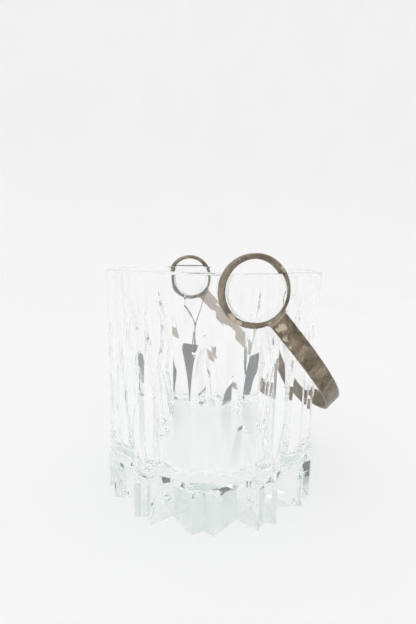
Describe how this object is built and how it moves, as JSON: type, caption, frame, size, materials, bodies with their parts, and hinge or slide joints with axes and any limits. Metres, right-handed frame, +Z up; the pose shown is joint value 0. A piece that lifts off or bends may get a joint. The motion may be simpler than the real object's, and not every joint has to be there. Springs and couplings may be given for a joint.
{
  "type": "ice bucket",
  "caption": "Clear cut-glass ice bucket with a star-shaped foot and a swing handle of flat metal strap on two round lug rings, with a blank swing tag on a string.",
  "frame": {"origin": "centre of the flat underside, on the bucket's own axis", "axes": "+Z up along the bucket's axis, +Y from the front lug to the rear lug, +X towards the side where the handle rests"},
  "size_m": [0.1383, 0.148, 0.14],
  "materials": {
    "crystal_glass": "polished",
    "aged_silver_plate": "satin",
    "braze_metal": "satin",
    "dark_cotton_string": "matte",
    "dark_card": "matte"
  },
  "bodies": {
    "bucket": {"glass_bucket": "crystal_glass", "tag_string_loop": "dark_cotton_string", "tag_string_tail": "dark_cotton_string", "tag_knot": "dark_cotton_string", "hang_tag": "dark_card"},
    "handle": {"handle_strap": "aged_silver_plate", "ring_front": "aged_silver_plate", "ring_rear": "aged_silver_plate", "brazed_seam_front": "braze_metal", "brazed_seam_rear": "braze_metal"}
  },
  "joints": [
    {"name": "handle_swing", "type": "hinge", "parent": "bucket", "child": "handle", "pos_m": [0, 0, 0.123], "axis": [0, -1, 0], "range_deg": [0, 276]}
  ]
}
